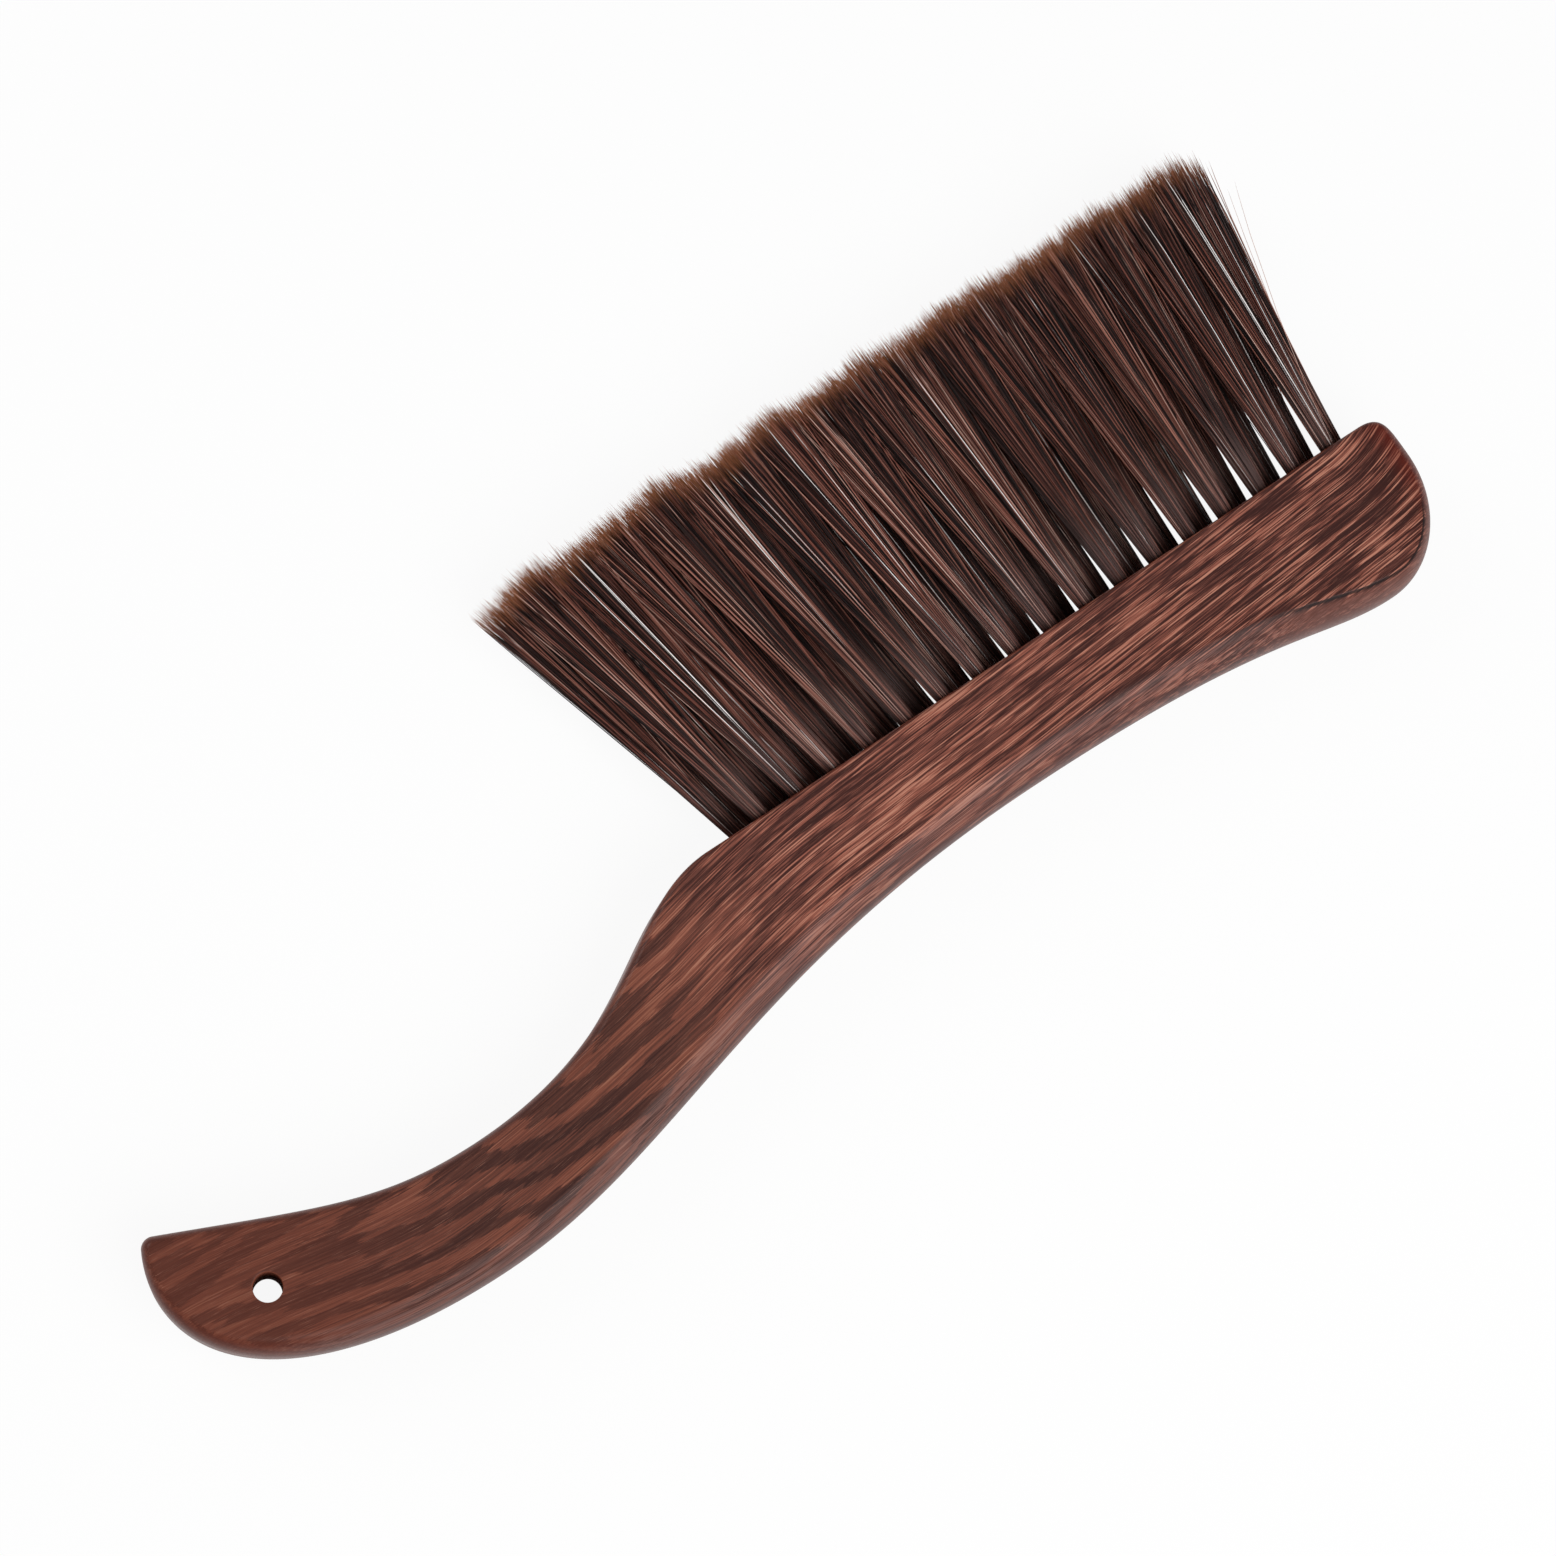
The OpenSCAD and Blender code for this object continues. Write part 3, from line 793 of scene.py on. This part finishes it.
def tuftMesh(name, rng, t, x, z, side):
    # round each place along each filament lies a level ring of points, as far out as the
    # filament's radius times the ring's, and the filament ends in one point
    path, shade, size = filaments(rng, t, x, z, side)
    n, k, sides = path.shape[0], len(t["rings"]), t["sides"]
    turn = rng.random(n) * 2 * np.pi
    corner = turn[:, None] + np.arange(sides) * 2 * np.pi / sides
    ringR = size[:, None, None] * np.array(t["ringR"])[None, :, None]
    rings = np.empty((n, k, sides, 3))
    rings[..., 0] = path[:, :k, None, 0] + ringR * np.cos(corner)[:, None]
    rings[..., 1] = path[:, :k, None, 1]
    rings[..., 2] = path[:, :k, None, 2] + ringR * np.sin(corner)[:, None]
    points = np.concatenate([rings.reshape(n, k * sides, 3), path[:, k:]], 1)
    points[..., 2] = np.clip(points[..., 2], t["sideMargin"], thickness - t["sideMargin"])
    # the faces of one filament, and the ring that each corner of a face lies on
    tipPoint = sides * k
    faces, ways = [], []
    for i in range(k - 1):
        for j in range(sides):
            near = (j + 1) % sides
            a, b = i * sides + j, i * sides + near
            c, d = b + sides, a + sides
            faces += [(a, c, b), (a, d, c)]
            ways += [(i, i + 1, i), (i, i + 1, i + 1)]
    for j in range(sides):
        a, b = (k - 1) * sides + j, (k - 1) * sides + (j + 1) % sides
        faces.append((a, tipPoint, b))
        ways.append((k - 1, k, k - 1))
    for j in range(1, sides - 1):
        faces.append((0, j, j + 1))
        ways.append((0, 0, 0))
    faces, ways = np.array(faces), np.array(t["rings"] + (1.0,))[np.array(ways)]
    index = (faces[None] + (np.arange(n) * (tipPoint + 1))[:, None, None]).reshape(-1)
    mesh = bpy.data.meshes.new(name)
    total = n * len(faces)
    mesh.vertices.add(n * (tipPoint + 1))
    mesh.vertices.foreach_set("co", (points * mm).reshape(-1))
    mesh.loops.add(total * 3)
    mesh.loops.foreach_set("vertex_index", index.astype(np.int32))
    mesh.polygons.add(total)
    mesh.polygons.foreach_set("loop_start", np.arange(0, total * 3, 3, dtype=np.int32))
    mesh.update(calc_edges=True)
    chart = mesh.uv_layers.new(name="OFBake")
    column = (np.floor(shade * t["shades"]) + 0.5) / t["shades"]
    uv = np.empty((n, len(faces), 3, 2))
    uv[..., 0] = column[:, None, None]
    uv[..., 1] = ways[None]
    chart.data.foreach_set("uv", uv.reshape(-1))
    mesh.polygons.foreach_set("use_smooth", np.ones(total, bool))
    mesh.materials.append(bristle)
    piece = bpy.data.objects.new(name, mesh)
    bpy.context.scene.collection.objects.link(piece)
    return piece


def buildTufts(t):
    # the outer rows have one tuft less and stand half a pitch on
    rng = np.random.default_rng(t["seed"])
    total = 0
    for row, side in (("front", 1), ("middle", 0), ("back", -1)):
        for i in range(middleCount - abs(side)):
            node = f"tuft_{row}_{i + 1:02d}"
            x = t["firstX"] + pitch * (i + abs(side) / 2)
            piece = tuftMesh(f"bristles_{row}_{i + 1:02d}", rng, t, x, t["rowZ"][row], side)
            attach(piece, "root")
            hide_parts(node)
            total += len(piece.data.polygons)
    print("tufts made:", total, "triangles")


bristle = bristleMaterial(bristleLook)
buildTufts(tufts)

steel = wireMaterial(wireLook)
for name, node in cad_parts.items():
    if name.startswith("anchors"):
        node.data.materials.clear()
        node.data.materials.append(steel)
print("anchors finished")


shot = {
    "place": (-33.0, -45.4, 883.5),   # mm
    "aim": (170.0, 35.6, 12.5),
    "roll": 33.0,                     # how far the handle climbs across the view
    "lens": 85.0,
    "sensor": 36.0,
    "nearest": 0.01,                  # in metres, as Blender takes it
}


def placeCamera(s):
    # looks from its place at its aim, with the brush level, and is then rolled about that line
    place, aim = np.array(s["place"]), np.array(s["aim"])
    forward = unit(aim - place)
    sideways = unit(np.array([1.0, 0, 0]) - forward * forward[0])
    upward = np.cross(sideways, forward)
    a = np.radians(s["roll"])
    right = np.cos(a) * sideways - np.sin(a) * upward
    up = np.sin(a) * sideways + np.cos(a) * upward
    camera = bpy.data.objects.new("camera", bpy.data.cameras.new("camera"))
    camera.data.lens = s["lens"]
    camera.data.sensor_width = s["sensor"]
    camera.data.clip_start = s["nearest"]
    axes = np.column_stack([right, up, -forward, place * mm])
    camera.matrix_world = Matrix(np.vstack([axes, [0, 0, 0, 1]]).tolist())
    bpy.context.scene.collection.objects.link(camera)
    bpy.context.scene.camera = camera


def backdropRays(tree):
    # 1 for a ray that sees the white backdrop: from the camera, mirrored, or through glass
    rays = tree.nodes.new("ShaderNodeLightPath")
    seen = rays.outputs["Is Camera Ray"]
    for kind in ("Is Glossy Ray", "Is Transmission Ray"):
        either = tree.nodes.new("ShaderNodeMath")
        either.operation = "MAXIMUM"
        tree.links.new(seen, either.inputs[0])
        tree.links.new(rays.outputs[kind], either.inputs[1])
        seen = either.outputs[0]
    return seen


floorLook = {
    "size": 8.0,                      # metres
    "drop": 0.02,                     # how far it lies below the brush, mm
    "colour": (0.86, 0.86, 0.86, 1),
    "roughness": 0.9,
    "glow": 0.92,                     # how much of its white is its own
}


def layFloor(f):
    b = nodeBoard("paleFloor")
    b.shader.inputs["Base Color"].default_value = f["colour"]
    b.shader.inputs["Roughness"].default_value = f["roughness"]
    b.shader.inputs["Specular IOR Level"].default_value = 0.0
    glow = b.add("ShaderNodeEmission")
    share = b.times(backdropRays(b.tree), f["glow"])
    surface = b.add("ShaderNodeMixShader", {0: share, 1: b.shader.outputs[0], 2: glow})
    b.link(surface, b.tree.nodes["Material Output"].inputs["Surface"])
    half, low = f["size"] / 2, -f["drop"] * mm
    corners = [(-half, -half, low), (half, -half, low), (half, half, low), (-half, half, low)]
    floor = makePiece("floor", corners, [(0, 1, 2, 3)], b.material, False)


lamps = {
    "aim": (0.165, 0.03, 0.012),      # metres
    "turn": (0.03, 1.0, 0.01),        # the way that their upper edges point
    "each": [                         # name, place in metres, size, watts
        ("key", (0.28, -0.72, 0.95), 1.2, 12.5),
        ("far", (-0.40, 0.95, 0.75), 1.0, 6.0),
    ],
}


def hangLamps(rig):
    # each lamp is a soft disk that faces the aim
    for name, place, size, watts in rig["each"]:
        lamp = bpy.data.lights.new(name, "AREA")
        lamp.shape = "DISK"
        lamp.size = size
        lamp.energy = watts
        back = unit(np.array(place) - rig["aim"])
        right = unit(np.cross(rig["turn"], back))
        holder = bpy.data.objects.new(name, lamp)
        axes = np.column_stack([right, np.cross(back, right), back, place])
        holder.matrix_world = Matrix(np.vstack([axes, [0, 0, 0, 1]]).tolist())
        bpy.context.scene.collection.objects.link(holder)


room = {
    "fill": 0.28,                     # strength of the even light
    "backdrop": 1.0,                  # 1 is white
}


def fillWorld(r):
    # an even fill on the object, and white where a ray looks past the floor
    world = bpy.data.worlds.new("studio")
    world.use_nodes = True
    bpy.context.scene.world = world
    tree = world.node_tree
    light = tree.nodes["Background"]
    light.inputs["Color"].default_value = (1, 1, 1, 1)
    light.inputs["Strength"].default_value = r["fill"]
    white = tree.nodes.new("ShaderNodeBackground")
    white.inputs["Color"].default_value = (1, 1, 1, 1)
    white.inputs["Strength"].default_value = r["backdrop"]
    mix = tree.nodes.new("ShaderNodeMixShader")
    tree.links.new(backdropRays(tree), mix.inputs[0])
    tree.links.new(light.outputs[0], mix.inputs[1])
    tree.links.new(white.outputs[0], mix.inputs[2])
    tree.links.new(mix.outputs[0], tree.nodes["World Output"].inputs["Surface"])


placeCamera(shot)
layFloor(floorLook)
hangLamps(lamps)
fillWorld(room)
bpy.context.scene.view_settings.view_transform = "Standard"
print("camera, floor and lamps placed")
